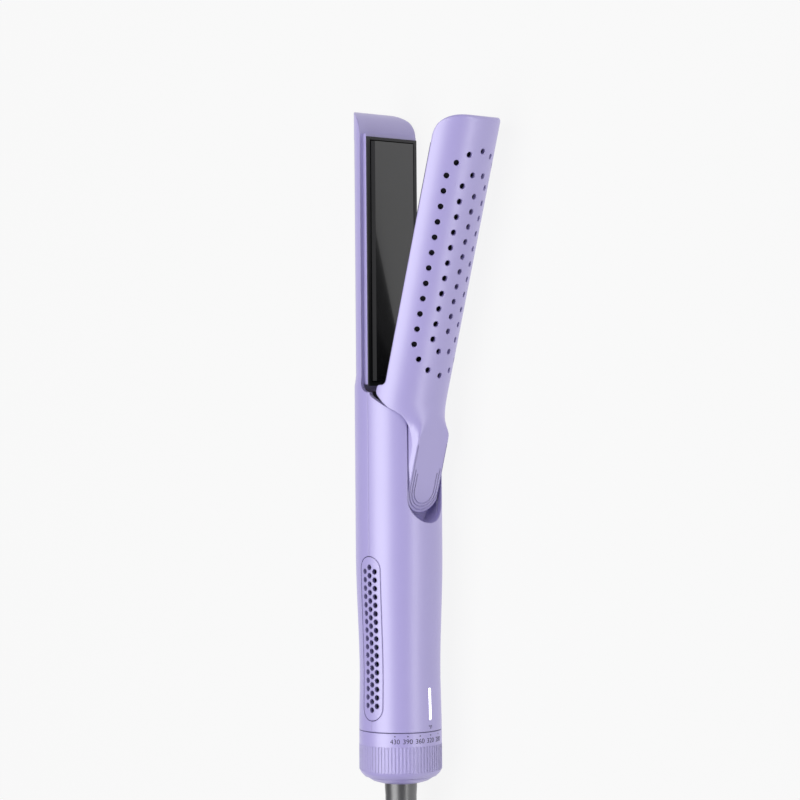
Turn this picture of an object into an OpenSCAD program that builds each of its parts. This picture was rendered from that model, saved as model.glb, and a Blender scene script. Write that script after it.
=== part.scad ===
// Airflow flat iron: round handle, fixed arm with a floating heater plate, and a sprung perforated
// arm with a thumb lever. Each piece is drawn standing up (x = way the arm opens, y = across,
// z = height above the dial's lower edge) and then laid on its side: tip +X, lever -Y, vent side up.

/* [Handle] */
// Outer radius of the handle above its waist
handle_r = 19.1; // [18.6:0.1:20.5]
// Outer radius at the waist
waist_r = 17.8; // [17.4:0.1:18.4]
// Height of the waist above the dial's lower edge
waist_l = 42; // [38:1:46]
// Length of the swell from the waist to the full radius
waist_rise = 52; // [40:1:60]
// Wall of the shells
wall = 2; // [1.6:0.1:2.2]

/* [Fixed arm] */
// Outer radius of the fixed arm
fixed_arm_r = 18.5; // [18:0.1:19]
// Height of both arms' tips
tip_l = 291.2; // [288:0.1:296]
// How far behind the axis the fixed arm's rim lies
fixed_rim_u = 4.9; // [4.6:0.1:5.2]
// Radius of the tips' corners
tip_corner_r = 9.6; // [7:0.1:11]

/* [Plates] */
// Width of each heater plate
plate_w = 26.6; // [25.4:0.1:27]
// Lower end of the plates
plate_bottom_l = 170.6; // [170:0.1:172]
// Upper end of the plates
plate_top_l = 275.8; // [270:0.1:276]
// Distance from the axis to the plane where the plates meet
meet_u = 1.03; // [0.9:0.01:1.2]
// Gap left between the closed plates
plate_gap = 0.16; // [0.1:0.01:0.3]

/* [Moving arm] */
// Angle of the open arm
open_angle = 15.4; // [5:0.1:15.6]
// Height of the hinge pin
pivot_l = 152; // [151.5:0.1:152.5]
// Distance of the hinge pin from the axis, towards the moving arm
pivot_u = 5; // [4.8:0.1:5.2]
// Distance from the axis to the moving arm's rim when closed
arm_rim_u = 5.2; // [5:0.1:5.6]
// Diameter of the air holes
air_hole_d = 2.5; // [1.6:0.1:3]
// Half width of the thumb lever
lever_half_w = 10.2; // [9.4:0.1:10.2]
// Distance from the axis to the lever's pad when closed
pad_u = 22.9; // [22.4:0.1:23.2]

/* [Dial] */
// Outer radius of the dial's printed band
dial_r = 18.2; // [17.9:0.1:18.4]
// Ribs round the dial's grip
dial_ribs = 72; // [48:4:84]
// Height of the dial's printed band's upper edge
dial_top_l = 17; // [16:0.1:17.1]

/* [Cord] */
// Diameter of the cord
cord_d = 6.6; // [6:0.2:7]

/* [Hidden] */
$fn = 64;

lilac = [0.70, 0.66, 0.86];
black = [0.06, 0.06, 0.07];
grey = [0.28, 0.28, 0.30];
steel = [0.75, 0.75, 0.77];
brass = [0.78, 0.62, 0.28];
board_green = [0.10, 0.35, 0.20];
silicone = [0.85, 0.85, 0.80];
ceramic = [0.90, 0.88, 0.82];

// Handle shells
seam_l = dial_top_l + 0.3;
mouth_l = 165.6;
shell_r = handle_r - wall;
arm_cavity_r = fixed_arm_r - 1.8;
nose_r = 12;
nose_back = 1.9;
fixed_tip_l = tip_l - 1.7;
fixed_nose_r = 10.5;
fixed_nose_u = -fixed_rim_u - 0.1 - fixed_nose_r;

// Lever slot
slot_half_w = lever_half_w + 0.5;
slot_end_l = 119;
lever_end_l = 116.2;
well_top_l = 145.8;
well_wall = 1.4;

// Vent grille: an upright slot with round ends, centred on the shells' seam
grille_mid_l = 58;
grille_half_w = 5.65;
grille_half_l = 35.8;
grille_hole_d = 2.4;
grille_pitch = 3.67;
grille_column_angle = 8.8;
grille_gap = 0.28;

// Plates and their frames
plate_t = 3.2;
plate_chamfer = 1.2;
plate_half_w = plate_w / 2;
frame_gap = 0.6;
fixed_face_u = -meet_u - plate_gap / 2;
arm_face_u = -meet_u + plate_gap / 2;
frame_bottom_l = plate_bottom_l - frame_gap - 1.6;
frame_top_l = plate_top_l + frame_gap + 1.3;
fixed_frame_u = -2.4;
fixed_floor_u = -8;
arm_frame_u = 3;
arm_floor_u = 6.4;

// Moving arm
arm_cavity_top_l = tip_l - 10.8;
arm_inner_r = handle_r - 1.8;
arm_root_l = 168;
hole_mid_l = 226.8;
bracket_screw_u = 1.8;
arm_screw_l = [171.5, 180];
chassis_top_u = 14.6;

// Fan
fan_r = 12.7;
fan_bottom_l = 64;
fan_top_l = 94;
duct_u = -6.6;
duct_r = 6.5;

// Dial and cord end
dial_bottom_l = -3.3;
knurl_top_l = 10.8;
spindle_r = 15.1;
cap_bottom_l = -6.2;
boot_r = 7.1;
boot_end_l = -52;
cord_r = cord_d / 2;

// Place of the standing model once it is laid down: centred over its box, resting on z = 0
open_tip_u = pivot_u + (handle_r - pivot_u) * cos(open_angle) + (tip_l - pivot_l) * sin(open_angle);
shift_x = -(tip_l + boot_end_l) / 2;
axis_y = (open_tip_u - handle_r) / 2;
axis_z = handle_r;

// Cord on the table, in the laid frame, from the boot's end: points chosen along its way
boot_end_x = boot_end_l + shift_x;
lead_route = [
    [0, 0, 19.1], [-10, 0, 19.1], [-20, 0, 18.5], [-32, 0.2, 16.6], [-44, 0.6, 13.4],
    [-56, 1.2, 10], [-68, 2.2, 7.2], [-80, 3.4, 5.2], [-92, 4.6, 4.1], [-104, 5.7, 3.6],
    [-116, 6.6, 3.4], [-128, 7.4, 3.5], [-140, 8, 3.9], [-152, 8.4, 4.4], [-162, 8.6, 4.6],
    [-172, 8.6, 4.6]
];
plug_route = [
    [-284, -38, 24.4], [-270, -35.4, 24.4], [-256, -29.7, 24.4], [-242, -24, 24.4],
    [-228, -21.4, 24.4], [-214, -24, 24.4], [-200, -29.7, 24.4], [-186, -35.4, 24.4],
    [-172, -38, 24.4], [-160, -39, 24.4], [-148, -39.6, 23.4], [-136, -39.9, 20.4],
    [-124, -40, 16.6], [-112, -40, 13], [-100, -40, 10.2], [-90, -40, 8.4], [-80, -40, 7.8],
    [-70, -40, 7.8]
];
hank_run = 112;
hank_fold_r = 20;
hank_mid_x = -228;
hank_mid_y = -18;
hank_layers = 3;
hank_base_z = 1.3;
hank_pinch = 16.6;
tie_w = 14;
tie_t = 1.2;
plug_x = -70;
plug_y = -40;
plug_z = 7.8;

// ---- helpers ----

function ease(t) = t <= 0 ? 0 : t >= 1 ? 1 : t * t * (3 - 2 * t);

function handle_radius(l) = l > waist_l
    ? waist_r + (handle_r - waist_r) * ease((l - waist_l) / waist_rise)
    : waist_r + (dial_r - waist_r) * ease((waist_l - l) / (waist_l - dial_top_l));

function arc(cx, cy, r, from, to, steps = 6) =
    [for (i = [0:steps]) let(a = from + (to - from) * i / steps) [cx + r * cos(a), cy + r * sin(a)]];

// Heights at which the waisted part of the handle is drawn
waist_steps = [for (i = [0:14]) seam_l + (waist_l + waist_rise - seam_l) * i / 14];

// Lays the standing model on its side
module laid() {
    translate([shift_x, axis_y, axis_z]) rotate([0, 90, 0]) rotate([0, 0, -90]) children();
}

// Turns the closed moving arm to its open place
module opened() {
    translate([pivot_u, 0, pivot_l]) rotate([0, open_angle, 0]) translate([-pivot_u, 0, -pivot_l])
        children();
}

// Extrudes an outline drawn as (x, z) across y
module across(width) {
    rotate([90, 0, 0]) linear_extrude(width, center = true) children();
}

// Extrudes an outline drawn as (y, z) along x
module outward(from_u, to_u) {
    translate([from_u, 0, 0]) rotate([90, 0, 90]) linear_extrude(to_u - from_u) children();
}

// A box given by its low and high corners
module block(low, high) {
    translate(low) cube(high - low);
}

// A box symmetric across y
module bar(u0, u1, half_w, l0, l1) {
    block([u0, -half_w, l0], [u1, half_w, l1]);
}

module upright(r, l0, l1, u = 0, v = 0) {
    translate([u, v, l0]) cylinder(r = r, h = l1 - l0);
}

module pipe(outer_r, inner_r, l0, l1, u = 0, v = 0) {
    difference() {
        upright(outer_r, l0, l1, u, v);
        upright(inner_r, l0 - 1, l1 + 1, u, v);
    }
}

module on_pin(r, half_w) {
    translate([pivot_u, 0, pivot_l]) rotate([90, 0, 0]) cylinder(r = r, h = 2 * half_w, center = true);
}

// A tube swept along a path, with rings at the path's points
module swept_tube(path, r, sides, up = [0, 0, 1]) {
    last = len(path) - 1;
    rings = [for (i = [0:last])
        let(
            t = path[min(i + 1, last)] - path[max(i - 1, 0)],
            side = cross(t, up) / norm(cross(t, up)),
            top = cross(side, t) / norm(t)
        )
        for (k = [0:sides - 1])
            path[i] + r * (side * cos(360 * k / sides) + top * sin(360 * k / sides))];
    walls = [for (i = [0:last - 1]) for (k = [0:sides - 1])
        let(n = (k + 1) % sides, a = i * sides, b = a + sides)
        each [[a + k, b + k, b + n], [a + k, b + n, a + n]]];
    first_end = [for (k = [0:sides - 1]) k];
    far_end = [for (k = [0:sides - 1]) last * sides + sides - 1 - k];
    polyhedron(concat(rings), concat(walls, [first_end, far_end]));
}

// ---- handle ----

module handle_solid(inset) {
    rotate_extrude() polygon(concat(
        [[0, seam_l]],
        [for (l = waist_steps) [handle_radius(l) - inset, l]],
        [[handle_r - inset, arm_root_l + 6], [0, arm_root_l + 6]]
    ));
}

// The vent grille's opening, through both walls
module grille_prism(grow) {
    across(60) {
        translate([-grille_half_w - grow, grille_mid_l - grille_half_l + grille_half_w])
            square([2 * (grille_half_w + grow), 2 * (grille_half_l - grille_half_w)]);
        for (end = [-1, 1])
            translate([0, grille_mid_l + end * (grille_half_l - grille_half_w)])
                circle(grille_half_w + grow);
    }
}

// Tip outline seen from the front: square shoulders with round corners
module tip_outline(top_l) {
    half = handle_r + 1;
    inner = handle_r - tip_corner_r;
    translate([-half, 100]) square([2 * half, top_l - tip_corner_r - 100]);
    translate([-inner, 100]) square([2 * inner, top_l - 100]);
    for (side = [-1, 1]) translate([side * inner, top_l - tip_corner_r]) circle(tip_corner_r);
}

module back_shell() {
    lip_w = 15.8;
    lip_in_w = 14.5;
    notch_r = 5;
    color(lilac) difference() {
        union() {
            difference() {
                union() {
                    intersection() {
                        handle_solid(0);
                        block([-40, -40, 0], [0, 40, arm_root_l]);
                    }
                    intersection() {
                        rotate_extrude() polygon([
                            [0, arm_root_l], [handle_r, arm_root_l], [fixed_arm_r, arm_root_l + 5],
                            [fixed_arm_r, tip_l], [0, tip_l]
                        ]);
                        block([-40, -40, arm_root_l], [0, 40, tip_l]);
                    }
                }
                handle_solid(wall);
                upright(arm_cavity_r, arm_root_l, tip_l - 14);
                block([-fixed_rim_u, -40, mouth_l + notch_r], [40, 40, tip_l + 1]);
                across(80) translate([0.1, mouth_l + notch_r]) circle(notch_r);
            }
            // Inward flange and raised lip that hold the plate's frame
            intersection() {
                union() {
                    bar(-fixed_rim_u - 1.5, -fixed_rim_u, 17.6, frame_bottom_l + 0.6, tip_l - 4);
                    bar(-fixed_rim_u - 1.5, -3.1, lip_w, frame_bottom_l + 0.6, frame_top_l + 1.8);
                }
                upright(fixed_arm_r - 0.4, arm_root_l, tip_l);
            }
        }
        bar(-20, 20, lip_in_w, frame_bottom_l + 1, frame_top_l - 0.7);
        // Rounded nose above the plate
        across(80) polygon(concat(
            [[40, frame_top_l + 0.3]],
            arc(fixed_nose_u, fixed_tip_l - fixed_nose_r, fixed_nose_r, 0, 90, 12),
            [[-30, fixed_tip_l], [-30, tip_l + 1], [40, tip_l + 1]]
        ));
        outward(-40, 40) difference() {
            translate([-40, tip_l - 30]) square([80, 60]);
            tip_outline(fixed_tip_l);
        }
        grille_prism(grille_gap);
    }
}

// The mouth's edge seen from the side: shoulder, slope and fillet down to the lever slot
mouth_edge = concat(
    [[-1, mouth_l], [0.95, mouth_l]],
    arc(4, 166, 3.05, 187.5, 238),
    arc(9.9, 151.6, 6, 58, 0),
    [[60, 151.6], [60, 220], [-1, 220]]
);

module slot_outline(half_w, top_l) {
    translate([-half_w, slot_end_l]) square([2 * half_w, top_l - slot_end_l]);
    translate([0, slot_end_l]) circle(half_w);
}

module front_shell() {
    led_l = 29.3;
    led_half_l = 7;
    color(lilac) difference() {
        intersection() {
            handle_solid(0);
            block([0, -40, 0], [40, 40, mouth_l + 2]);
        }
        handle_solid(wall);
        across(80) polygon(mouth_edge);
        outward(7, 40) slot_outline(slot_half_w, 165);
        bar(13, 40, 0.68, led_l - led_half_l, led_l + led_half_l);
        grille_prism(grille_gap);
    }
}

// The well's floor seen from the side, under the pressed lever
module well_room(drop) {
    polygon(concat(
        [[6.5 - drop, 170], [6.5 - drop, 150], [8.7 - drop, 114]],
        arc(13.7 - drop, 113.4, 5, 180, 240, 4),
        [[19.5, 108.2 - drop / 2], [60, 108.2 - drop / 2], [60, 170]]
    ));
}

module lever_well() {
    color(lilac) difference() {
        intersection() {
            outward(0, 40) slot_outline(slot_half_w + well_wall, well_top_l);
            across(80) well_room(1.8);
            upright(shell_r - 0.04, 100, 160);
        }
        intersection() {
            outward(0, 40) slot_outline(slot_half_w, well_top_l + 5);
            across(80) well_room(0);
        }
    }
}

// One grille with three staggered columns of holes; side is -1 for the upper, 1 for the lower one
module vent_grille(side) {
    first_l = grille_mid_l + 8.5 * grille_pitch;
    color(lilac) difference() {
        intersection() {
            difference() {
                handle_solid(0.1);
                handle_solid(1.9);
            }
            grille_prism(0);
            block([-20, side < 0 ? -40 : 2, 0], [20, side < 0 ? -2 : 40, 120]);
        }
        for (column = [-1:1])
            for (i = [0:(column == 0 ? 17 : 16)])
                translate([0, 0, first_l - (i + (column == 0 ? 0 : 0.5)) * grille_pitch])
                    rotate([0, 0, side * 90 + column * grille_column_angle])
                        rotate([0, 90, 0])
                            translate([0, 0, 12]) cylinder(d = grille_hole_d, h = 10, $fn = 20);
    }
}

module vent_grille_upper() { vent_grille(-1); }
module vent_grille_lower() { vent_grille(1); }

module filter(side) {
    color(black) difference() {
        block([-5, side < 0 ? -14.8 : 14.3, 24], [5, side < 0 ? -14.3 : 14.8, 92]);
        for (l = [27:4:89])
            for (u = [-3, 0, 3])
                block([u - 1, side < 0 ? -20 : 10, l - 1.4], [u + 1, side < 0 ? -10 : 20, l + 1.4]);
    }
}

module filter_upper() { filter(-1); }
module filter_lower() { filter(1); }

// ---- fan, duct and boards ----

module fan_housing() {
    color(black) difference() {
        upright(fan_r + 1.2, fan_bottom_l, fan_top_l);
        upright(fan_r + 0.3, fan_bottom_l - 1, fan_top_l - 1.4);
        upright(duct_r - 0.8, fan_top_l - 3, fan_top_l + 1, duct_u);
    }
}

module motor() {
    color(steel) difference() {
        upright(8, 78, 91);
        upright(1.05, 70, 92);
    }
}

module motor_mount() {
    color(silicone) {
        difference() {
            union() {
                upright(9, 79, 88);
                for (a = [0:60:300])
                    rotate([0, 0, a]) block([8, -0.6, 80], [fan_r + 0.25, 0.6, 88]);
            }
            upright(8, 78, 89);
        }
    }
}

module motor_shaft() {
    color(steel) upright(1, 66, 90.5);
}

module impeller() {
    color(grey) difference() {
        union() {
            upright(4.6, 67, 76.5);
            for (a = [0:40:320])
                rotate([0, 0, a]) translate([4, 0, 71.5]) rotate([35, 0, 0])
                    translate([0, -0.5, -3.4]) cube([fan_r - 4.4, 1, 6.8]);
        }
        upright(1, 60, 80);
    }
}

module air_duct() {
    color(grey) pipe(duct_r, duct_r - 0.9, fan_top_l, 166, duct_u);
}

module main_board() {
    color(board_green) bar(-3, -1.4, 13, 26, 60);
}

module board_parts() {
    color(grey) {
        upright(4, 30, 42, 2.6, -7);
        upright(3, 46, 56, 1.6, -8);
        block([-1.4, 1, 30], [6.5, 11, 46]);
        block([-1.4, 2, 49], [2.4, 10, 57]);
        block([-7, -8, 32], [-3, 8, 48]);
    }
}

module led_board() {
    color(board_green) bar(12.4, 13.6, 5, 22, 37);
}

module light_pipe() {
    color("white") intersection() {
        bar(13.6, 19, 0.6, 22.45, 36.15);
        handle_solid(-0.06);
    }
}

// ---- plates and frames ----

// A plate with bevelled long edges, as an outline across the arm
module plate(face_u, way) {
    back = way * plate_t;
    edge = way * plate_chamfer;
    translate([0, 0, plate_bottom_l]) linear_extrude(plate_top_l - plate_bottom_l) polygon([
        [face_u, -plate_half_w + plate_chamfer], [face_u, plate_half_w - plate_chamfer],
        [face_u + edge, plate_half_w], [face_u + back, plate_half_w],
        [face_u + back, -plate_half_w], [face_u + edge, -plate_half_w]
    ]);
}

module fixed_frame() {
    room_w = plate_half_w + frame_gap;
    color(black) difference() {
        union() {
            bar(-3.05, fixed_frame_u, 15.7, frame_bottom_l, frame_top_l);
            bar(fixed_floor_u - 1, fixed_frame_u, 14.4, frame_bottom_l + 1.1, frame_top_l - 0.8);
        }
        bar(fixed_floor_u, 5, room_w, plate_bottom_l - frame_gap, plate_top_l + frame_gap);
    }
}

module fixed_plate() { color(black) plate(fixed_face_u, -1); }

module fixed_heater() {
    u = fixed_face_u - plate_t;
    color(ceramic) bar(u - 1.6, u, 6, 186, 262);
}

module fixed_heater_clip() {
    u = fixed_face_u - plate_t - 1.6;
    color(steel) bar(u - 0.6, u, 3, 182, 266);
}

module plate_springs(low_u, high_u) {
    color(silicone) for (v = [-9.5, 9.5]) for (l = [178, 200, 223, 246, 268])
        translate([low_u, v, l]) rotate([0, 90, 0]) cylinder(r = 2.2, h = high_u - low_u);
}

module fixed_plate_springs() { plate_springs(fixed_floor_u, fixed_face_u - plate_t); }

module thermistor() {
    u = fixed_face_u - plate_t;
    color(brass) block([u - 1, -9.4, 210], [u, -7, 214]);
}

module thermal_fuse() {
    u = fixed_face_u - plate_t - 1;
    color(brass) upright(1, 228, 238, u, 8.4);
}

// ---- hinge ----

module hinge_pin() { color(steel) on_pin(2, 13.4); }

module hinge_bushes() {
    color(brass) difference() {
        on_pin(3.2, 12.9);
        on_pin(2, 20);
        bar(-20, 30, 10.9, 140, 170);
    }
}

module hinge_brackets() {
    color(steel) difference() {
        union() {
            on_pin(5.8, 12.9);
            across(25.8) polygon([[-11, 148], [-11, 131], [3.4, 131], [3.8, 146], [5, 157], [-1, 154]]);
        }
        bar(-30, 30, 10.9, 120, 170);
        on_pin(3.2, 20);
        for (side = [-1, 1]) translate([bracket_screw_u, side * 12, 138]) rotate([90, 0, 0])
            cylinder(r = 1.2, h = 6, center = true);
    }
}

module bracket_bridge() {
    color(black) difference() {
        bar(0.1, 3.6, 10.9, 133, 143);
        for (side = [-1, 1]) translate([bracket_screw_u, side * 8, 138]) rotate([90, 0, 0])
            cylinder(r = 1.2, h = 8, center = true);
    }
}

module bracket_screws() {
    color(steel) for (side = [-1, 1])
        translate([bracket_screw_u, side * 12.9, 138]) rotate([side * 90, 0, 0]) {
            cylinder(r = 1.2, h = 5);
            translate([0, 0, -1.3]) cylinder(r = 2.1, h = 1.3);
        }
}

module closing_spring() {
    coil_r = 3.1;
    wire_r = 0.45;
    turns = 2.25;
    steps = 36;
    color(steel) for (side = [-1, 1]) translate([pivot_u, 0, pivot_l])
        swept_tube(
            [for (i = [0:steps]) let(a = 360 * turns * i / steps)
                [side * coil_r * cos(a), side * (7.6 + 2.4 * i / steps), coil_r * sin(a)]],
            wire_r, 6, [0, side, 0]
        );
}

// ---- moving arm, drawn closed ----

// The wide part of the arm seen from the side: rim, round lobe, and the edge that follows the mouth
arm_edge = concat(
    [[arm_rim_u, tip_l + 5]],
    arc(arm_rim_u - 2.5, 171.3, 2.5, 0, -90, 4),
    arc(3.1, 167.1, 1.7, 90, 180, 4),
    arc(4, 166, 2.6, 180, 238, 4),
    [[5.5, 161.7], [8.3, 160], [11.3, 159.1], [14.3, 157.6], [16.8, 153.6], [60, 153.6],
        [60, tip_l + 5]]
);

function crown(l) = handle_r + (pad_u - handle_r) * ease((168 - l) / 16);

lever_side = concat(
    [for (l = [172:-2:150]) [crown(l), l]],
    [[pad_u, lever_end_l], [19.6, lever_end_l], [10, 144], [10, 157], [15, 172]]
);

module lever_outline(half_w) {
    end_l = lever_end_l + lever_half_w;
    translate([-half_w, end_l]) square([2 * half_w, 100]);
    translate([0, end_l]) circle(half_w);
}

module air_hole(angle, l) {
    translate([0, 0, l]) rotate([0, 0, angle]) rotate([0, 90, 0])
        translate([0, 0, 14]) cylinder(d = air_hole_d, h = 8, $fn = 20);
}

// Five columns of holes, closed by an arc of single holes at each end
module air_holes() {
    for (i = [0:9]) air_hole(0, hole_mid_l + (i - 4.5) * 6.62);
    for (i = [0:10]) for (side = [-1, 1]) air_hole(side * 21.7, hole_mid_l + (i - 5) * 6.75);
    for (i = [0:11]) for (side = [-1, 1]) air_hole(side * 45.5, hole_mid_l + (i - 5.5) * 6.76);
    for (end = [-1, 1]) {
        air_hole(0, hole_mid_l + end * 49.6);
        for (side = [-1, 1]) {
            air_hole(side * 9.7, hole_mid_l + end * 38.9);
            air_hole(side * 20.5, hole_mid_l + end * 47.5);
            air_hole(side * 35.8, hole_mid_l + end * 43.3);
        }
    }
}

module arm_shell() {
    color(lilac) opened() difference() {
        union() {
            intersection() {
                difference() {
                    upright(handle_r, 140, tip_l);
                    upright(arm_inner_r, 139, arm_cavity_top_l);
                }
                across(80) polygon(arm_edge);
                outward(0, 40) tip_outline(tip_l);
                across(80) polygon(concat(
                    [[60, 100], [0, 100], [0, tip_l - nose_r]],
                    arc(handle_r - nose_back, tip_l - nose_r, nose_r, 180, 90, 12),
                    [[60, tip_l]]
                ));
            }
            difference() {
                intersection() {
                    across(2 * lever_half_w) polygon(lever_side);
                    outward(0, 40) lever_outline(lever_half_w);
                }
                intersection() {
                    across(2 * (lever_half_w - 1.8)) polygon([
                        [0, 100], [pad_u - 2.4, 100], [pad_u - 2.4, 151], [17.2, 164],
                        [17.2, 180], [0, 180]
                    ]);
                    outward(0, 40) translate([0, 1.8]) lever_outline(lever_half_w - 1.8);
                }
                upright(arm_inner_r, 156.5, 180);
            }
            // Bosses for the chassis screws
            for (l = arm_screw_l) translate([chassis_top_u, 0, l]) rotate([0, 90, 0])
                cylinder(r = 3, h = 3.4);
        }
        for (l = arm_screw_l) translate([chassis_top_u - 1, 0, l]) rotate([0, 90, 0])
            cylinder(r = 1.2, h = 3.4);
        air_holes();
    }
}

module arm_chassis() {
    color(black) opened() difference() {
        union() {
            on_pin(4.5, 7);
            across(12) polygon([
                [2.2, 155.2], [8.6, 149.6], [chassis_top_u, 158], [chassis_top_u, 184], [8.6, 184],
                [8.6, 168], [4, 160]
            ]);
        }
        on_pin(2.06, 20);
        for (l = arm_screw_l) translate([0, 0, l]) rotate([0, 90, 0]) cylinder(r = 1.2, h = 30);
    }
}

module arm_screws() {
    color(steel) opened() for (l = arm_screw_l) translate([0, 0, l]) rotate([0, 90, 0]) {
        translate([0, 0, 7.5]) cylinder(r = 2.2, h = 1.1);
        translate([0, 0, 8.6]) cylinder(r = 1.2, h = 8.4);
    }
}

module arm_air_guide() {
    color(black) opened() difference() {
        upright(16.2, 186, 279);
        upright(15.4, 185, 280);
        block([-40, -40, 180], [8, 40, 290]);
    }
}

module arm_frame() {
    room_w = plate_half_w + frame_gap;
    color(black) opened() difference() {
        translate([0, 0, frame_bottom_l + 2]) linear_extrude(frame_top_l - frame_bottom_l - 2) polygon([
            [arm_frame_u, -14.8], [arm_frame_u, 14.8], [4.8, 16.2], [arm_floor_u + 1, 15.4],
            [arm_floor_u + 1, -15.4], [4.8, -16.2]
        ]);
        bar(-10, arm_floor_u, room_w, plate_bottom_l + 0.8, plate_top_l + frame_gap);
    }
}

module arm_plate() {
    color(black) opened() intersection() {
        plate(arm_face_u, 1);
        bar(-10, 10, 20, plate_bottom_l + 1.4, plate_top_l);
    }
}

module arm_heater() {
    u = arm_face_u + plate_t;
    color(ceramic) opened() bar(u, u + 1.6, 6, 186, 262);
}

module arm_heater_clip() {
    u = arm_face_u + plate_t + 1.6;
    color(steel) opened() bar(u, u + 0.6, 3, 182, 266);
}

module arm_plate_springs() { opened() plate_springs(arm_face_u + plate_t, arm_floor_u); }

// ---- dial and cord swivel ----

module dial_ring() {
    rib_depth = 0.16;
    color(lilac) difference() {
        union() {
            upright(dial_r, knurl_top_l, dial_top_l);
            translate([0, 0, dial_bottom_l]) linear_extrude(knurl_top_l - dial_bottom_l) union() {
                circle(dial_r - rib_depth);
                for (i = [0:dial_ribs - 1]) rotate(360 * i / dial_ribs)
                    translate([dial_r - 2, -0.4]) square([2.06, 0.8]);
            }
        }
        // Bevelled foot
        rotate_extrude() polygon([
            [dial_r + 2, -6], [15.8, dial_bottom_l - 0.2], [17.4, -1.8], [18.3, -0.1], [dial_r + 2, 0.3]
        ]);
        upright(spindle_r + 0.08, -10, 30);
        pipe(15.95, 15.35, 16.3, 20);
    }
}

module dial_wiper() { color(brass) pipe(15.9, 15.4, 16.35, dial_top_l); }

module dial_track() { color(board_green) pipe(16, 15.3, dial_top_l + 0.06, 17.7); }

module dial_spindle() {
    color(grey) difference() {
        union() {
            upright(spindle_r, cap_bottom_l + 3.9, 17.7);
            upright(16, 17.7, 20.5);
        }
        upright(13.6, -10, 30);
    }
}

module click_spring() {
    color(steel) intersection() {
        pipe(13.55, 13, 5, 8);
        block([0, -9, 0], [20, 9, 20]);
    }
}

module end_cap() {
    color(lilac) rotate_extrude() polygon([
        [7.5, cap_bottom_l], [9.4, cap_bottom_l], [12.4, -5.3], [14.4, -4], [14.7, -3.5],
        [14, -3.4], [14, -2.3], [7.5, -2.3]
    ]);
}

module swivel_core() {
    color(grey) {
        upright(9.4, -2.2, 1.6);
        upright(5, 1.6, 11);
    }
}

module swivel_retainer() {
    color(black) difference() {
        upright(13.55, -2.3, 3.4);
        upright(9.5, -3, 1.8);
        upright(5.6, 1, 4);
    }
}

module contact_block() {
    color(brass) pipe(8, 5.1, 4, 10);
}

// Strain relief: smooth collar, then ribs that taper to the cord
module cord_boot() {
    color(grey) difference() {
        rotate_extrude() polygon([
            [0, boot_end_l], [cord_r + 1, boot_end_l], [cord_r + 1.4, boot_end_l + 4],
            [6.9, -16], [6.9, -12], [boot_r, -9], [7.2, -5], [7.2, -2.2], [0, -2.2]
        ]);
        for (l = [-46:6:-22]) translate([0, 0, l]) pipe(9, cord_r + 1.1, 0, 2);
    }
}

module internal_leads() {
    color("firebrick") {
        for (v = [-6.2, 6.2]) upright(0.8, 10, 26, -2.2, v);
        for (v = [-7, 7]) upright(0.8, 50, 167, -13.4, v);
    }
}

// ---- cord on the table, drawn in the laid frame ----

module from_boot() { translate([boot_end_x, axis_y, 0]) children(); }

module cord_lead() {
    color(black) from_boot() swept_tube(lead_route, cord_r, 10);
}

module plug_lead() {
    color(black) from_boot() swept_tube(plug_route, cord_r, 10);
}

// Half width of the hank: two turns side by side, drawn together by the tie
function hank_half_w(x) =
    hank_fold_r + cord_d + cord_r - hank_pinch * ease(1 - abs(x) / (hank_run / 2));

module cord_hank() {
    steps = 8;
    end_r = hank_half_w(hank_run);
    side = [for (i = [-steps:steps]) let(x = i * hank_run / 2 / steps) [x, hank_half_w(x)]];
    outline = concat(
        side,
        arc(hank_run / 2, 0, end_r, 75, -75, 10),
        [for (i = [steps:-1:-steps]) [side[i + steps][0], -side[i + steps][1]]],
        arc(-hank_run / 2, 0, end_r, 255, 105, 10)
    );
    color(black) from_boot() translate([hank_mid_x, hank_mid_y, hank_base_z])
        linear_extrude(hank_layers * cord_d) polygon(outline);
}

module cord_tie() {
    half_w = hank_half_w(0) + 0.7;
    top = (hank_layers + 1) * cord_d + hank_base_z + 0.2;
    color(black) from_boot() translate([hank_mid_x - tie_w / 2, hank_mid_y, 0]) difference() {
        translate([0, -half_w - tie_t, 0]) cube([tie_w, 2 * (half_w + tie_t), top + tie_t]);
        translate([-1, -half_w, tie_t]) cube([tie_w + 2, 2 * half_w, top - tie_t]);
    }
}

module plug_body() {
    color(black) from_boot() translate([plug_x, plug_y, plug_z]) rotate([0, 90, 0]) {
        cylinder(r1 = 4.6, r2 = 6.4, h = 16);
        translate([0, 0, 16]) linear_extrude(20) intersection() {
            square([15, 26], center = true);
            circle(13.6);
        }
        translate([0, 0, 36]) linear_extrude(4) square([15.4, 24], center = true);
    }
}

module plug_blades() {
    color(brass) from_boot() for (side = [-1, 1])
        translate([plug_x + 40, plug_y + side * 6.35 - 0.75, plug_z - 3.15]) cube([16, 1.5, 6.3]);
}

// ---- drawing ----

laid() back_shell();
laid() front_shell();
laid() lever_well();
laid() vent_grille_upper();
laid() vent_grille_lower();
laid() filter_upper();
laid() filter_lower();
laid() fan_housing();
laid() motor();
laid() motor_mount();
laid() motor_shaft();
laid() impeller();
laid() air_duct();
laid() main_board();
laid() board_parts();
laid() led_board();
laid() light_pipe();
laid() fixed_frame();
laid() fixed_plate();
laid() fixed_heater();
laid() fixed_heater_clip();
laid() fixed_plate_springs();
laid() thermistor();
laid() thermal_fuse();
laid() hinge_pin();
laid() hinge_bushes();
laid() hinge_brackets();
laid() bracket_bridge();
laid() bracket_screws();
laid() closing_spring();
laid() arm_shell();
laid() arm_chassis();
laid() arm_air_guide();
laid() arm_frame();
laid() arm_plate();
laid() arm_heater();
laid() arm_heater_clip();
laid() arm_plate_springs();
laid() arm_screws();
laid() dial_ring();
laid() dial_wiper();
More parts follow.
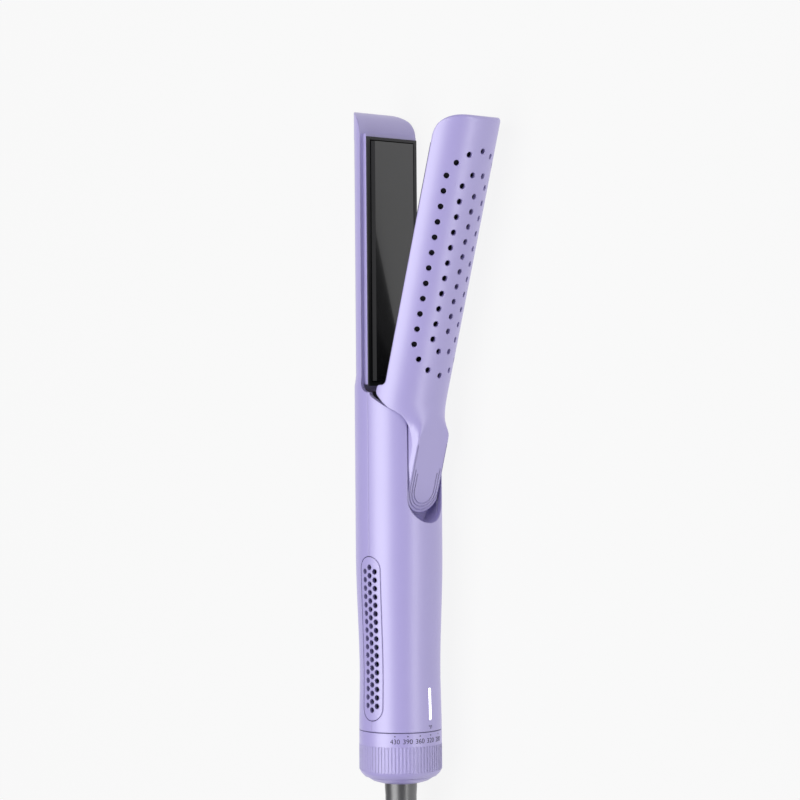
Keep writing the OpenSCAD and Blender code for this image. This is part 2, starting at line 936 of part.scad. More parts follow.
laid() dial_track();
laid() dial_spindle();
laid() click_spring();
laid() end_cap();
laid() swivel_core();
laid() cord_boot();
laid() swivel_retainer();
laid() contact_block();
laid() internal_leads();
cord_lead();
cord_hank();
plug_lead();
cord_tie();
plug_body();
plug_blades();
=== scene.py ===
"""Looks of the airflow flat iron, which lies on its side with its arm open."""
import math

import bmesh
import bpy
from mathutils import Matrix, Vector


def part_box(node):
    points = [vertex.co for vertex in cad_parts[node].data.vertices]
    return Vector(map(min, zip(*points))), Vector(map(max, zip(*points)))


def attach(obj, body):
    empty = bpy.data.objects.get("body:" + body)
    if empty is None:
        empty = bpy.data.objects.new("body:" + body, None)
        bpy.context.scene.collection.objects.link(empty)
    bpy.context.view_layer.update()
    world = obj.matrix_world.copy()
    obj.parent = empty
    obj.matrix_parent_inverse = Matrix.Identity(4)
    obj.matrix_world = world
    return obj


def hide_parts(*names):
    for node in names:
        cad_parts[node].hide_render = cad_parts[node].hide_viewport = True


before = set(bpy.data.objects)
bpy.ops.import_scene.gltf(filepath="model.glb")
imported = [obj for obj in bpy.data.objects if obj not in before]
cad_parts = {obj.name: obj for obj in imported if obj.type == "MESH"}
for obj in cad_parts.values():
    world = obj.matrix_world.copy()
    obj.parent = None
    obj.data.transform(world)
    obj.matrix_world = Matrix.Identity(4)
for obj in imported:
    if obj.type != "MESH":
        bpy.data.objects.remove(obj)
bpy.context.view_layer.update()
MM = 0.001

# ---- the standing frame: u = way the arm opens, v = across, l = height above the dial's edge ----

BOOT_END_L = -52.0
PIVOT_U, PIVOT_L = 5.0, 152.0
OPEN_ANGLE = math.radians(15.4)
TIP_L = 291.2
HANDLE_R = 19.1

boot_low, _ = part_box("cord_boot")
ring_low, ring_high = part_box("dial_ring")
ORIGIN = Vector((
    boot_low[0] - BOOT_END_L * MM,
    (ring_low[1] + ring_high[1]) / 2,
    (ring_low[2] + ring_high[2]) / 2,
))
# Columns are the world directions of u, v and l
STANDING = Matrix(((0, 0, 1), (-1, 0, 0), (0, -1, 0)))


def turned(direction):
    """A direction in the standing frame, in the world."""
    return STANDING @ Vector(direction)


def at(u, v, l):
    """A point given in millimetres in the standing frame, in the world."""
    return ORIGIN + turned((u, v, l)) * MM


def opened(u, v, l):
    """Where a point of the closed moving arm is when the arm is open."""
    du, dl = u - PIVOT_U, l - PIVOT_L
    c, s = math.cos(OPEN_ANGLE), math.sin(OPEN_ANGLE)
    return PIVOT_U + du * c + dl * s, v, PIVOT_L - du * s + dl * c


def ease(t):
    t = min(max(t, 0.0), 1.0)
    return t * t * (3 - 2 * t)


# ---- camera ----

VIEW_TURN = math.radians(46.2)
VIEW_PITCH = math.radians(0.05)
VIEW_ROLL = math.radians(-0.45)
VIEW_DISTANCE = 1190.1
AIM_L = 162.1
SIDE_STEP = 0.905
LENS_MM = 121.36


def add_camera():
    """The camera, turned round the iron's length to the photo's viewpoint."""
    back = Vector((
        math.cos(VIEW_TURN) * math.cos(VIEW_PITCH),
        -math.sin(VIEW_TURN) * math.cos(VIEW_PITCH),
        math.sin(VIEW_PITCH),
    ))
    right = (-back).cross(Vector((0, 0, 1))).normalized()
    up = right.cross(-back)
    roll_c, roll_s = math.cos(VIEW_ROLL), math.sin(VIEW_ROLL)
    right, up = roll_c * right + roll_s * up, roll_c * up - roll_s * right
    place = Vector((0, 0, AIM_L)) + back * VIEW_DISTANCE + right * SIDE_STEP
    axes = [turned(a) for a in (right, up, back)]
    camera = bpy.data.objects.new("camera", bpy.data.cameras.new("camera"))
    camera.matrix_world = Matrix.Translation(at(*place)) @ Matrix(axes).transposed().to_4x4()
    camera.data.lens = LENS_MM
    camera.data.sensor_width = 36.0
    camera.data.clip_start = 0.05
    camera.data.clip_end = 20.0
    bpy.context.scene.collection.objects.link(camera)
    bpy.context.scene.camera = camera


# ---- materials ----

def new_material(name, colour, roughness, **sockets):
    """A Principled material whose plain values sit on the shader's own sockets."""
    material = bpy.data.materials.new(name)
    material.use_nodes = True
    shader = material.node_tree.nodes["Principled BSDF"]
    shader.inputs["Base Color"].default_value = (*colour, 1)
    shader.inputs["Roughness"].default_value = roughness
    for socket, value in sockets.items():
        shader.inputs[socket.replace("_", " ")].default_value = value
    return material


def add_noise(material, scale, detail):
    """A noise in the piece's own coordinates."""
    nodes, links = material.node_tree.nodes, material.node_tree.links
    coords = nodes.new("ShaderNodeTexCoord")
    noise = nodes.new("ShaderNodeTexNoise")
    noise.inputs["Scale"].default_value = scale
    noise.inputs["Detail"].default_value = detail
    links.new(coords.outputs["Object"], noise.inputs["Vector"])
    return noise.outputs["Fac"]


def ramp(material, fac, low, high):
    """Colours from low to high across the middle of a noise."""
    nodes, links = material.node_tree.nodes, material.node_tree.links
    node = nodes.new("ShaderNodeValToRGB")
    node.color_ramp.elements[0].position = 0.3
    node.color_ramp.elements[1].position = 0.7
    node.color_ramp.elements[0].color = (*low, 1)
    node.color_ramp.elements[1].color = (*high, 1)
    links.new(fac, node.inputs["Fac"])
    return node.outputs["Color"]


def map_range(material, fac, low, high):
    """Values from low to high across the middle of a noise."""
    nodes, links = material.node_tree.nodes, material.node_tree.links
    node = nodes.new("ShaderNodeMapRange")
    node.inputs["From Min"].default_value = 0.3
    node.inputs["From Max"].default_value = 0.7
    node.inputs["To Min"].default_value = low
    node.inputs["To Max"].default_value = high
    links.new(fac, node.inputs["Value"])
    return node.outputs["Result"]


def bump(material, fac, distance):
    """A relief of this height, in metres, on the surface."""
    nodes, links = material.node_tree.nodes, material.node_tree.links
    node = nodes.new("ShaderNodeBump")
    node.inputs["Distance"].default_value = distance
    links.new(fac, node.inputs["Height"])
    links.new(node.outputs["Normal"], nodes["Principled BSDF"].inputs["Normal"])


def round_edges(material, radius):
    """Shades sharp edges as if they were rounded over."""
    nodes, links = material.node_tree.nodes, material.node_tree.links
    edge = nodes.new("ShaderNodeBevel")
    edge.samples = 6
    edge.inputs["Radius"].default_value = radius
    grain = next(node for node in nodes if node.bl_idname == "ShaderNodeBump")
    links.new(edge.outputs["Normal"], grain.inputs["Normal"])


CLOUD_SCALE = 45
POLISH_SPREAD = 0.03


def finish_surface(material, colour, spread, roughness, grain_scale, grain_height):
    """Slight clouding of the colour, uneven polish and a fine moulded grain."""
    links = material.node_tree.links
    shader = material.node_tree.nodes["Principled BSDF"]
    cloud = add_noise(material, CLOUD_SCALE, 3)
    low = tuple(c * (1 - spread) for c in colour)
    high = tuple(min(1, c * (1 + spread)) for c in colour)
    links.new(ramp(material, cloud, low, high), shader.inputs["Base Color"])
    fine = add_noise(material, grain_scale, 2)
    polish = map_range(material, fine, roughness - POLISH_SPREAD, roughness + POLISH_SPREAD)
    links.new(polish, shader.inputs["Roughness"])
    bump(material, fine, grain_height)
    return material


def surface(name, colour, roughness, spread=0.02, grain_scale=2600, grain_height=0.00001,
            **sockets):
    """A plain material with its clouding, polish and grain added."""
    material = new_material(name, colour, roughness, **sockets)
    return finish_surface(material, colour, spread, roughness, grain_scale, grain_height)


EDGE_R = 0.0007

lilac = surface("lilac_satin", (0.320, 0.278, 0.565), 0.40, 0.012, 3200, 0.000003,
                IOR=1.95, Coat_Weight=0.25, Coat_Roughness=0.34)
round_edges(lilac, EDGE_R)
black = surface("black_matt", (0.012, 0.012, 0.014), 0.5, 0.15)
plate_coat = surface("plate_ceramic_coat", (0.016, 0.016, 0.018), 0.16, 0.1, 2000, 0.000002,
                     Coat_Weight=0.6, Coat_Roughness=0.06)
grey = surface("grey_plastic", (0.10, 0.10, 0.11), 0.5, 0.1)
rubber = surface("boot_rubber", (0.022, 0.022, 0.026), 0.36, 0.12, 1800, 0.00001, IOR=2.0,
                 Coat_Weight=0.4, Coat_Roughness=0.3)
cord_rubber = surface("cord_rubber", (0.02, 0.02, 0.022), 0.5, 0.15)
steel = surface("steel", (0.55, 0.55, 0.57), 0.32, 0.06, 1500, 0.000004, Metallic=1.0)
brass = surface("brass", (0.60, 0.44, 0.18), 0.3, 0.08, 1500, 0.000004, Metallic=1.0)
board = surface("circuit_board", (0.02, 0.13, 0.06), 0.35, 0.2, 900, 0.00001)
silicone = surface("silicone", (0.55, 0.55, 0.50), 0.6, 0.08)
ceramic = surface("heater_ceramic", (0.75, 0.72, 0.65), 0.7, 0.05)
lead_red = surface("lead_insulation", (0.40, 0.03, 0.03), 0.45, 0.1)
tie_fabric = surface("tie_fabric", (0.015, 0.015, 0.016), 0.9, 0.3, 1200, 0.0001, Sheen_Weight=0.4)
glow = surface("light_pipe", (0.95, 0.95, 0.97), 0.4, 0.01,
               Emission_Color=(1, 1, 1, 1), Emission_Strength=1.6)
print_ink = surface("print_ink", (0.012, 0.009, 0.03), 0.55, 0.1)
filter_mesh = surface("filter_mesh", (0.022, 0.014, 0.05), 0.8, 0.2)

NODE_LOOKS = {
    lilac: ["back_shell", "front_shell", "lever_well", "vent_grille_upper", "vent_grille_lower",
            "arm_shell", "end_cap", "dial_ring"],
    black: ["fixed_frame", "arm_frame", "arm_air_guide", "swivel_retainer", "bracket_bridge",
            "fan_housing", "arm_chassis"],
    filter_mesh: ["filter_upper", "filter_lower"],
    plate_coat: ["fixed_plate", "arm_plate"],
    grey: ["board_parts", "impeller", "dial_spindle", "air_duct"],
    rubber: ["cord_boot", "swivel_core"],
    cord_rubber: ["plug_body"],
    steel: ["motor", "motor_shaft", "hinge_pin", "hinge_brackets", "bracket_screws",
            "closing_spring", "arm_screws", "click_spring", "fixed_heater_clip",
            "arm_heater_clip"],
    brass: ["hinge_bushes", "dial_wiper", "contact_block", "plug_blades", "thermistor",
            "thermal_fuse"],
    board: ["main_board", "led_board", "dial_track"],
    glow: ["light_pipe"],
    silicone: ["motor_mount", "fixed_plate_springs", "arm_plate_springs"],
    ceramic: ["fixed_heater", "arm_heater"],
    lead_red: ["internal_leads"],
    tie_fabric: ["cord_tie"],
}


def dress_nodes():
    """Gives the CAD nodes their materials, apart from the cord's, which are replaced."""
    for material, names in NODE_LOOKS.items():
        for name in names:
            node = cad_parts[name]
            node.data.materials.clear()
            node.data.materials.append(material)


# ---- mesh helpers, in millimetres in the standing frame ----

SHARP_ANGLE = math.radians(32)


def new_solid(name, points, faces):
    """An object made of these points and faces, with its normals turned outward."""
    mesh = bpy.data.meshes.new(name)
    mesh.from_pydata([tuple(p) for p in points], [], faces)
    solid = bpy.data.objects.new(name, mesh)
    bpy.context.scene.collection.objects.link(solid)
    cleaned = bmesh.new()
    cleaned.from_mesh(mesh)
    bmesh.ops.recalc_face_normals(cleaned, faces=cleaned.faces)
    cleaned.to_mesh(mesh)
    cleaned.free()
    return solid


def loft(name, rings):
    """A closed solid through rings of equally many points."""
    count = len(rings[0])
    faces = [[i * count + k, i * count + (k + 1) % count,
              (i + 1) * count + (k + 1) % count, (i + 1) * count + k]
             for i in range(len(rings) - 1) for k in range(count)]
    faces.append(list(range(count))[::-1])
    faces.append([(len(rings) - 1) * count + k for k in range(count)])
    return new_solid(name, [p for ring in rings for p in ring], faces)


def side_prism(name, outline, half_w):
    """Extrudes an outline drawn as (u, l) across v."""
    return loft(name, [[(u, v, l) for u, l in outline] for v in (-half_w, half_w)])


def front_prism(name, outline, low_u, high_u):
    """Extrudes an outline drawn as (v, l) along u."""
    return loft(name, [[(u, v, l) for v, l in outline] for u in (low_u, high_u)])


def join(solids):
    """Puts solids that stand clear of each other into one object."""
    merged = bmesh.new()
    for solid in solids:
        merged.from_mesh(solid.data)
    first = solids[0]
    merged.to_mesh(first.data)
    merged.free()
    for solid in solids[1:]:
        bpy.data.objects.remove(solid)
    return first


def combine(target, tool, operation):
    """Boolean of two closed solids, kept in target."""
    step = target.modifiers.new("cut", "BOOLEAN")
    step.solver = "MANIFOLD"
    step.operation = operation
    step.object = tool
    bpy.context.view_layer.update()
    shape = target.evaluated_get(bpy.context.evaluated_depsgraph_get())
    mesh = bpy.data.meshes.new_from_object(shape)
    target.modifiers.clear()
    old = target.data
    target.data = mesh
    bpy.data.meshes.remove(old)
    bpy.data.objects.remove(tool)
    return target


def arc(cx, cy, r, start, end, steps):
    """Points along a circle, from one angle to another in degrees."""
    angles = [math.radians(start + (end - start) * i / steps) for i in range(steps + 1)]
    return [(cx + r * math.cos(a), cy + r * math.sin(a)) for a in angles]


def finish_piece(piece, place, body, material):
    """Moves a millimetre solid to its place, smooths it and hangs it on its body."""
    mesh = piece.data
    for vertex in mesh.vertices:
        vertex.co = place(*vertex.co)
    mesh.materials.clear()
    mesh.materials.append(material)
    for face in mesh.polygons:
        face.use_smooth = True
    mesh.set_sharp_from_angle(angle=SHARP_ANGLE)
    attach(piece, body)


# ---- moving arm's shell ----

ARM_WALL = 1.8
RIM_U = 5.2
TIP_CORNER_R = 9.6
# The corners' drop grows over this run, which ends this far below the tip
TIP_DROP_RUN, TIP_DROP_END = 24, 2
CROWN_R = 1.6
NOSE_R = 12.0
NOSE_U = HANDLE_R - 1.9
ROOM_TOP_L = TIP_L - 10.8
RING_STEP = 1.25
RING_CLOSED_U = -4
CROWN_STEPS = 7
PAD_U = 22.9
HOOD_TOP_L, HOOD_RISE = 166.5, 14
NARROW_TOP_L, NARROW_RUN = 163, 13
# Half width of the flat top and of the slope beside it, at the hood and at the pad
HOOD_FLAT, PAD_FLAT = 1, 9.2
HOOD_SLOPE, PAD_SLOPE = 17, 2.5
LEVER_HALF_W = 10.2
LEVER_END_L = 116.2
LEVER_TOP_L = 171
# Centre of the lever's round end
LEVER_ROUND_L = LEVER_END_L + LEVER_HALF_W
# Share of the lever's width that its hollow takes
ROOM_SHARE = 0.82
# Radius and upper end of each groove in the pad
GROOVES = ((9.0, 147), (7.6, 136), (6.2, 134))
GROOVE_W, GROOVE_DEPTH = 0.55, 0.3
HOLE_MID_L = 226.8
HOLE_R, HOLE_LIP = 1.25, 0.16
DRILL_LOW_R, DRILL_HIGH_R = 15, 21
# A u well outside the arm, for outlines that stay open on that side
BEYOND = 60


def hood_height(v, l):
    """How far the lever's root and pad stand above the round arm."""
    rise = ease((HOOD_TOP_L - l) / HOOD_RISE)
    narrowing = ease((NARROW_TOP_L - l) / NARROW_RUN)
    flat = HOOD_FLAT + (PAD_FLAT - HOOD_FLAT) * narrowing
    slope = HOOD_SLOPE + (PAD_SLOPE - HOOD_SLOPE) * narrowing
    across = 1 - ease((abs(v) - flat) / slope)
    round_u = math.sqrt(max(HANDLE_R ** 2 - v * v, 0))
    return (PAD_U - round_u * narrowing - HANDLE_R * (1 - narrowing)) * rise * across


def arm_ring(l, inset):
    """A section of the arm: round, swelling to the lever's flat pad, closed below its rim."""
    ring = []
    for i in range(91):
        angle = math.radians(-90 + 2 * i)
        u, v = HANDLE_R * math.cos(angle), HANDLE_R * math.sin(angle)
        scale = (HANDLE_R - inset) / HANDLE_R
        ring.append((u * scale + hood_height(v, l), v * scale, l))
    return ring + [(RING_CLOSED_U, HANDLE_R - inset, l), (RING_CLOSED_U, inset - HANDLE_R, l)]


def tip_drop(v, l):
    """How much the rounded corners of the tip pull a section's sides down."""
    past = min(max(abs(v) - (HANDLE_R - TIP_CORNER_R), 0), TIP_CORNER_R)
    drop = TIP_CORNER_R - math.sqrt(TIP_CORNER_R ** 2 - past ** 2)
    return drop * min(max((l - TIP_L + TIP_DROP_RUN + TIP_DROP_END) / TIP_DROP_RUN, 0), 1)


def arm_loft(name, low_l, high_l, inset=0.0, crown_r=0.0):
    """The arm's outside between two heights, rounded over at its top by crown_r."""
    straight = high_l - crown_r
    count = round((straight - low_l) / RING_STEP)
    rings = [arm_ring(low_l + (straight - low_l) * i / count, inset)
             for i in range(count + 1)]
    if crown_r:
        for i in range(CROWN_STEPS):
            turn = math.radians(90 * (i + 1) / CROWN_STEPS)
            rings.append(arm_ring(straight + crown_r * math.sin(turn),
                                  inset + crown_r * (1 - math.cos(turn))))
        rings = [[(u, v, l - tip_drop(v, l)) for u, v, l in ring] for ring in rings]
    return loft(name, rings)


def arm_side():
    """Side view of the wide part: nose, rim, round lobe and the edge along the mouth."""
    return ([(BEYOND, TIP_L + 3), (NOSE_U, TIP_L + 3)]
            + arc(NOSE_U, TIP_L - NOSE_R, NOSE_R, 90, 180, 12)
            + [(RIM_U, TIP_L - NOSE_R)]
            + arc(RIM_U - 2.5, 171.3, 2.5, 0, -90, 6) + arc(3.1, 167.1, 1.7, 90, 180, 6)
            + arc(4, 166, 2.6, 180, 238, 6)
            + [(5.5, 161.7), (8.3, 160), (11.3, 159.1), (13.6, 158), (15.6, 156), (17.2, 153.4),
               (18.5, 150.6), (19.6, 147.5), (20.6, 144), (BEYOND, 144)])


def lever_front(top_l):
    """Front view of the lever: straight sides down to a round end."""
    return ([(LEVER_HALF_W, top_l), (-LEVER_HALF_W, top_l)]
            + arc(0, LEVER_ROUND_L, LEVER_HALF_W, 180, 360, 28))


def lever_groove(radius, top_l):
    """A U-shaped groove pressed into the pad, parallel to its round end."""
    outer, inner = radius + GROOVE_W / 2, radius - GROOVE_W / 2
    outline = ([(outer, top_l), (inner, top_l)] + arc(0, LEVER_ROUND_L, inner, 360, 180, 24)
               + [(-inner, top_l), (-outer, top_l)]
               + arc(0, LEVER_ROUND_L, outer, 180, 360, 24))
    return front_prism("groove", outline, PAD_U - GROOVE_DEPTH, PAD_U + 1)


def hole_centres():
    """Angle and height of the air holes: five columns, closed by an arc at each end."""
    centres = [(0, (i - 4.5) * 6.62) for i in range(10)]
    for side in (-1, 1):
        centres += [(side * 21.7, (i - 5) * 6.75) for i in range(11)]
        centres += [(side * 45.5, (i - 5.5) * 6.76) for i in range(12)]
    for end in (-1, 1):
        centres.append((0, end * 49.6))
        for side in (-1, 1):
            centres += [(side * 9.7, end * 38.9), (side * 20.5, end * 47.5),
                        (side * 35.8, end * 43.3)]
    return [(angle, HOLE_MID_L + l) for angle, l in centres]


def hole_cutter(angle, l):
    """A radial drill with a slightly flared mouth."""
    turn = math.radians(angle)
    mouth_r = HOLE_R + HOLE_LIP
    rings = []
    for r, across in ((DRILL_LOW_R, HOLE_R), (HANDLE_R - HOLE_LIP, HOLE_R),
                      (HANDLE_R + 0.02, mouth_r), (DRILL_HIGH_R, mouth_r)):
        ring = []
        for k in range(24):
            a = math.radians(15 * k)
            side, up = across * math.cos(a), across * math.sin(a)
            ring.append((r * math.cos(turn) - side * math.sin(turn),
                         r * math.sin(turn) + side * math.cos(turn), l + up))
        rings.append(ring)
    return loft("hole", rings)


def lever_room():
    """The hollow under the lever's pad and hood."""
    roof_u, hood_u = PAD_U - 2.4, 17.2
    room = side_prism("room", [(0, 100), (roof_u, 100), (roof_u, 151), (hood_u, 164),
                               (hood_u, 175), (0, 175)], LEVER_HALF_W - ARM_WALL)
    front = [(v * ROOM_SHARE, l + ARM_WALL)
             for v, l in lever_front(LEVER_TOP_L + 1)]
    return combine(room, front_prism("front", front, -1, 40), "INTERSECT")


def lever_solid():
    """The thumb lever with the hood above it, open underneath."""
    side = [(BEYOND, 112), (BEYOND, LEVER_TOP_L), (14, LEVER_TOP_L), (10, 157), (10, 144),
            (19.6, LEVER_END_L)]
    front = lever_front(LEVER_TOP_L)
    lever = arm_loft("lever", 112, LEVER_TOP_L)
    combine(lever, side_prism("side", side, 12), "INTERSECT")
    combine(lever, front_prism("front", front, 0, BEYOND), "INTERSECT")
    combine(lever, lever_room(), "DIFFERENCE")
    return combine(lever, arm_loft("room", 157, LEVER_TOP_L + 1, ARM_WALL), "DIFFERENCE")


def add_arm_shell():
    """The perforated shell with its lever, drawn closed and then opened."""
    shell = arm_loft("arm_cover", 112, TIP_L, crown_r=CROWN_R)
    combine(shell, side_prism("side", arm_side(), 40), "INTERSECT")
    combine(shell, arm_loft("room", 150, ROOM_TOP_L, ARM_WALL), "DIFFERENCE")
    combine(shell, lever_solid(), "UNION")
    for radius, top_l in GROOVES:
        combine(shell, lever_groove(radius, top_l), "DIFFERENCE")
    drills = [hole_cutter(angle, l) for angle, l in hole_centres()]
    combine(shell, join(drills), "DIFFERENCE")
    finish_piece(shell, lambda u, v, l: at(*opened(u, v, l)), "moving_arm", lilac)
    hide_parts("arm_shell")


# ---- printed marks and the light ----

DIAL_R, DIAL_TOP_L = 18.2, 17.0
WAIST_R, WAIST_L, WAIST_RISE = 17.8, 42.0, 52.0
DIAL_MARKS = {-54: "430", -36: "390", -18: "360", 0: "320", 18: "280"}
DIGIT_H, DIGIT_W = 2.1, 1.42
DIGITS_MID_L = 13.5
DOT_L, DOT_R = 15.75, 0.3
UNIT_L, UNIT_H, UNIT_W = 19.2, 1.7, 2.0
# Print starts just under the surface, so that no gap shows beneath it
PRINT_SINK, UNIT_SINK, PRINT_DEPTH = 0.02, 0.03, 0.05
LIGHT_STEPS = 32
LIGHT_PROUD, LIGHT_CROWN = 0.07, 0.05
LIGHT_DEPTH, LIGHT_TAPER = 2, 0.7
LIGHT_END_HALF_W = 0.12
LIGHT_LOW_L, LIGHT_HIGH_L, LIGHT_HALF_W = 22.3, 36.3, 0.64


def handle_radius(l):
    """Radius of the handle, which is waisted above the dial."""
    if l > WAIST_L:
        return WAIST_R + (HANDLE_R - WAIST_R) * ease((l - WAIST_L) / WAIST_RISE)
    return WAIST_R + (DIAL_R - WAIST_R) * ease((WAIST_L - l) / (WAIST_L - DIAL_TOP_L))


def printed(text, height, width, angle, mid_l, radius):
    """Flat letters bent round the axis, centred on an angle."""
    curve = bpy.data.curves.new("letters", "FONT")
    curve.body = text
    curve.size = 1.0
    curve.resolution_u = 4
    holder = bpy.data.objects.new("letters", curve)
    bpy.context.scene.collection.objects.link(holder)
    bpy.context.view_layer.update()
    mesh = bpy.data.meshes.new_from_object(
        holder.evaluated_get(bpy.context.evaluated_depsgraph_get()))
    bpy.data.objects.remove(holder)
    xs = [vertex.co.x for vertex in mesh.vertices]
    ys = [vertex.co.y for vertex in mesh.vertices]
    scale_x = width / (max(xs) - min(xs))
    scale_y = height / (max(ys) - min(ys))
    for vertex in mesh.vertices:
        across = (vertex.co.x - (max(xs) + min(xs)) / 2) * scale_x
        up = (vertex.co.y - (max(ys) + min(ys)) / 2) * scale_y
        turn = math.radians(angle) + across / radius
        vertex.co = (radius * math.cos(turn), radius * math.sin(turn), mid_l + up)
    letters = bpy.data.objects.new("letters", mesh)
    bpy.context.scene.collection.objects.link(letters)
    return letters


def printed_dot(angle, l, size, radius):
    """A flat dot bent round the axis."""
    turn = math.radians(angle)
    ring = [(radius * math.cos(turn + size * math.cos(a) / radius),
             radius * math.sin(turn + size * math.cos(a) / radius), l + size * math.sin(a))
            for a in (math.radians(30 * k) for k in range(12))]
    return new_solid("dot", ring, [list(range(12))])


def thicken(piece, depth):
    """Gives flat print a little depth, so that it is a closed solid."""
    shape = bmesh.new()
    shape.from_mesh(piece.data)
    bmesh.ops.remove_doubles(shape, verts=shape.verts, dist=0.0005)
    for face in shape.faces:
        centre = face.calc_center_median()
        if face.normal.dot(Vector((centre.x, centre.y, 0))) < 0:
            face.normal_flip()
    back = bmesh.ops.extrude_face_region(shape, geom=shape.faces[:])
    for vertex in [g for g in back["geom"] if isinstance(g, bmesh.types.BMVert)]:
        reach = math.hypot(vertex.co.x, vertex.co.y)
        vertex.co.x *= (reach + depth) / reach
        vertex.co.y *= (reach + depth) / reach
    bmesh.ops.recalc_face_normals(shape, faces=shape.faces)
    shape.to_mesh(piece.data)
    shape.free()


def add_marks():
    """The dial's numbers and dots, and the unit mark beside the light."""
    marks = []
    print_r = DIAL_R - PRINT_SINK
    for angle, text in DIAL_MARKS.items():
        marks.append(printed(text, DIGIT_H, DIGIT_W * len(text), angle, DIGITS_MID_L, print_r))
        marks.append(printed_dot(angle, DOT_L, DOT_R, print_r))
    dial_print = join(marks)
    thicken(dial_print, PRINT_DEPTH)
    dial_print.name = "dial_print"
    finish_piece(dial_print, at, "temperature_dial", print_ink)
    unit = printed("\u00b0F", UNIT_H, UNIT_W, 0, UNIT_L, handle_radius(UNIT_L) - UNIT_SINK)
    thicken(unit, PRINT_DEPTH)
    unit.name = "unit_mark"
    finish_piece(unit, at, "handle", print_ink)


def add_light():
    """The temperature light: a slim capsule that follows the handle's curve."""
    rings = []
    for i in range(LIGHT_STEPS + 1):
        l = LIGHT_LOW_L + (LIGHT_HIGH_L - LIGHT_LOW_L) * i / LIGHT_STEPS
        to_end = min(l - LIGHT_LOW_L, LIGHT_HIGH_L - l)
        lack = max(LIGHT_HALF_W - to_end, 0)
        half = max(math.sqrt(LIGHT_HALF_W ** 2 - lack ** 2), LIGHT_END_HALF_W)
        top = handle_radius(l) + LIGHT_PROUD
        ring = [(top - LIGHT_CROWN * (v / half) ** 2, v, l)
                for v in (half * (k / 4 - 1) for k in range(9))]
        base = half * LIGHT_TAPER
        rings.append(ring + [(top - LIGHT_DEPTH, base, l), (top - LIGHT_DEPTH, -base, l)])
    light = loft("light_capsule", rings)
    finish_piece(light, at, "handle", glow)
    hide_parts("light_pipe")


# ---- lights and floor ----

SOFTBOX_DISTANCE = 800
SOFTBOX_MID_L = 150.0
FLOOR_SIZE = 8
FLOOR_ALBEDO, FLOOR_GLOW = 0.03, 0.885
WORLD_STRENGTH = 0.34


def add_softbox(name, turn, size, power):
    """A softbox beside the camera's line of sight, turned round the iron's length."""
    angle = VIEW_TURN - math.radians(turn)
    way = Vector((math.cos(angle), -math.sin(angle), 0))
    light = bpy.data.objects.new(name, bpy.data.lights.new(name, "AREA"))
    light.data.shape = "RECTANGLE"
    light.data.size, light.data.size_y = size
    light.data.energy = power
    centre = Vector((0, 0, SOFTBOX_MID_L))
    side = Vector((0, 0, 1)).cross(way).normalized()
    axes = [turned(a) for a in (side, way.cross(side), way)]
    light.matrix_world = (Matrix.Translation(at(*(centre + way * SOFTBOX_DISTANCE)))
                          @ Matrix(axes).transposed().to_4x4())
    bpy.context.scene.collection.objects.link(light)


def add_floor():
    """A dark sheet that glows white, so that shadows on it stay faint."""
    bpy.ops.mesh.primitive_plane_add(size=FLOOR_SIZE, location=(0, 0, -0.0005))
    floor = bpy.context.object
    floor.name = "floor"
    material = new_material("floor_paper", (FLOOR_ALBEDO,) * 3, 0.9,
                            Emission_Color=(1, 1, 1, 1), Emission_Strength=FLOOR_GLOW)
    floor.data.materials.append(material)


def add_stage():
    """The floor, the even light of the world and the two softboxes."""
    add_floor()
    world = bpy.context.scene.world or bpy.data.worlds.new("world")
    bpy.context.scene.world = world
    world.use_nodes = True
    background = world.node_tree.nodes["Background"]
    background.inputs["Color"].default_value = (1, 1, 1, 1)
    background.inputs["Strength"].default_value = WORLD_STRENGTH
    add_softbox("softbox_left", -48, (0.66, 1.4), 9.6)
    add_softbox("softbox_right", 54, (0.52, 1.4), 8.6)
    bpy.context.scene.view_settings.view_transform = "Standard"


# ---- cord ----

CORD_D = 6.6
HANK_RUN = 112.0
FOLD_R = 20.0
HANK_MID_X = -228.0
HANK_MID_Y = -18.0
HANK_BASE_Z = 1.3
HANK_PINCH = 16.6
# Route points are millimetres: x from the boot's end along the iron, y sideways from the
# iron's axis, z above the floor
LEAD_ROUTE = [
    (0, 0, 19.1), (-10, 0, 19.1), (-20, 0, 18.5), (-32, 0.2, 16.6), (-44, 0.6, 13.4),
    (-56, 1.2, 10), (-68, 2.2, 7.2), (-80, 3.4, 5.2), (-92, 4.6, 4.1), (-104, 5.7, 3.6),
    (-116, 6.6, 3.4), (-128, 7.4, 3.5), (-140, 8, 3.9), (-152, 8.4, 4.4), (-162, 8.6, 4.6),
]
PLUG_ROUTE = [
    (-160, -39, 24.4), (-148, -39.6, 23.4), (-136, -39.9, 20.4), (-124, -40, 16.6),
    (-112, -40, 13), (-100, -40, 10.2), (-90, -40, 8.4), (-80, -40, 7.8), (-70, -40, 7.8),
]
# Each turn of the hank shifts once, either a diameter sideways or a diameter up, and each
# shift comes a little sooner in its turn than the one before, which clears the turn below.
SHIFTS = ["in", "up", "out", "up", "in", "up"]
FIRST_SHIFT, SHIFT_SOONER, SHIFT_LENGTH = 0.90, 0.1, 0.1
TURN_STEPS = 40
LAST_TURN = 0.82


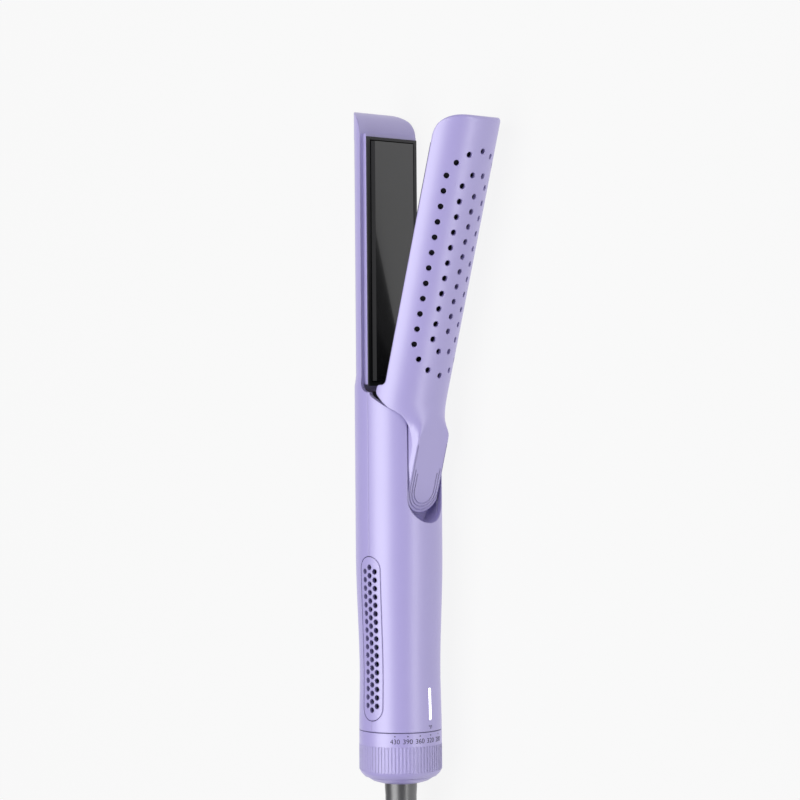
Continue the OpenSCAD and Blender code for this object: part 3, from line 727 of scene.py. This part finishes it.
def hank_point(s, offset, layer):
    """A point of the hank at s of a turn, from 0 to 1: out along one side and back."""
    radius = FOLD_R + offset * CORD_D
    half = HANK_RUN / 2
    fold = math.pi * (FOLD_R + CORD_D / 2)
    walk = s * (2 * HANK_RUN + 2 * fold)
    z = HANK_BASE_Z + CORD_D * (layer + 0.5)
    if walk < HANK_RUN or HANK_RUN + fold <= walk < 2 * HANK_RUN + fold:
        back = walk >= HANK_RUN
        x = half - walk if not back else walk - HANK_RUN - fold - half
        y = radius - HANK_PINCH * ease(1 - abs(x) / half)
        return Vector((HANK_MID_X + x, HANK_MID_Y + (-y if back else y), z))
    far = walk < HANK_RUN + fold
    turn = (walk - HANK_RUN if far else walk - 2 * HANK_RUN - fold) / fold * math.pi
    side = -1 if far else 1
    return Vector((HANK_MID_X + side * (half + radius * math.sin(turn)),
                   HANK_MID_Y - side * radius * math.cos(turn), z))


def hank_points():
    """The hank's turns, each with its shift, the last one cut short for the plug's lead."""
    points = []
    offset, layer = 1.0, 0.0
    for turn, shift in enumerate(SHIFTS):
        middle = FIRST_SHIFT - SHIFT_SOONER * turn
        last = turn == len(SHIFTS) - 1
        for i in range(round(TURN_STEPS * LAST_TURN) if last else TURN_STEPS):
            s = i / TURN_STEPS
            done = ease((s - middle + SHIFT_LENGTH / 2) / SHIFT_LENGTH)
            step = {"in": (-done, 0), "out": (done, 0), "up": (0, done)}[shift]
            points.append(hank_point(s, offset + step[0], layer + step[1]))
        offset += {"in": -1, "out": 1}.get(shift, 0)
        layer += shift == "up"
    return points


def smooth_line(points, between=3):
    """Catmull-Rom points through a route."""
    line = []
    for i in range(len(points) - 1):
        p0, p1 = points[max(i - 1, 0)], points[i]
        p2, p3 = points[i + 1], points[min(i + 2, len(points) - 1)]
        for k in range(between):
            t = k / between
            line.append(0.5 * (2 * p1 + (p2 - p0) * t + (2 * p0 - 5 * p1 + 4 * p2 - p3) * t ** 2
                               + (3 * p1 - p0 - 3 * p2 + p3) * t ** 3))
    return line + [points[-1]]


def add_cord():
    """The mains cord, from the boot through the hank to the plug."""
    route = [Vector(p) for p in LEAD_ROUTE] + hank_points() + [Vector(p) for p in PLUG_ROUTE]
    line = smooth_line(route)
    start = Vector((ORIGIN.x + BOOT_END_L * MM, ORIGIN.y, 0))
    curve = bpy.data.curves.new("mains_cord", "CURVE")
    curve.dimensions = "3D"
    curve.bevel_depth = CORD_D / 2 * MM
    curve.bevel_resolution = 5
    spline = curve.splines.new("POLY")
    spline.points.add(len(line) - 1)
    for point, place in zip(spline.points, line):
        point.co = (*(start + place * MM), 1)
    spline.use_smooth = True
    cord = bpy.data.objects.new("mains_cord", curve)
    cord.data.materials.append(cord_rubber)
    bpy.context.scene.collection.objects.link(cord)
    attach(cord, "handle")
    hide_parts("cord_lead", "cord_hank", "plug_lead")


add_camera()
add_cord()
dress_nodes()
add_arm_shell()
add_marks()
add_light()
add_stage()
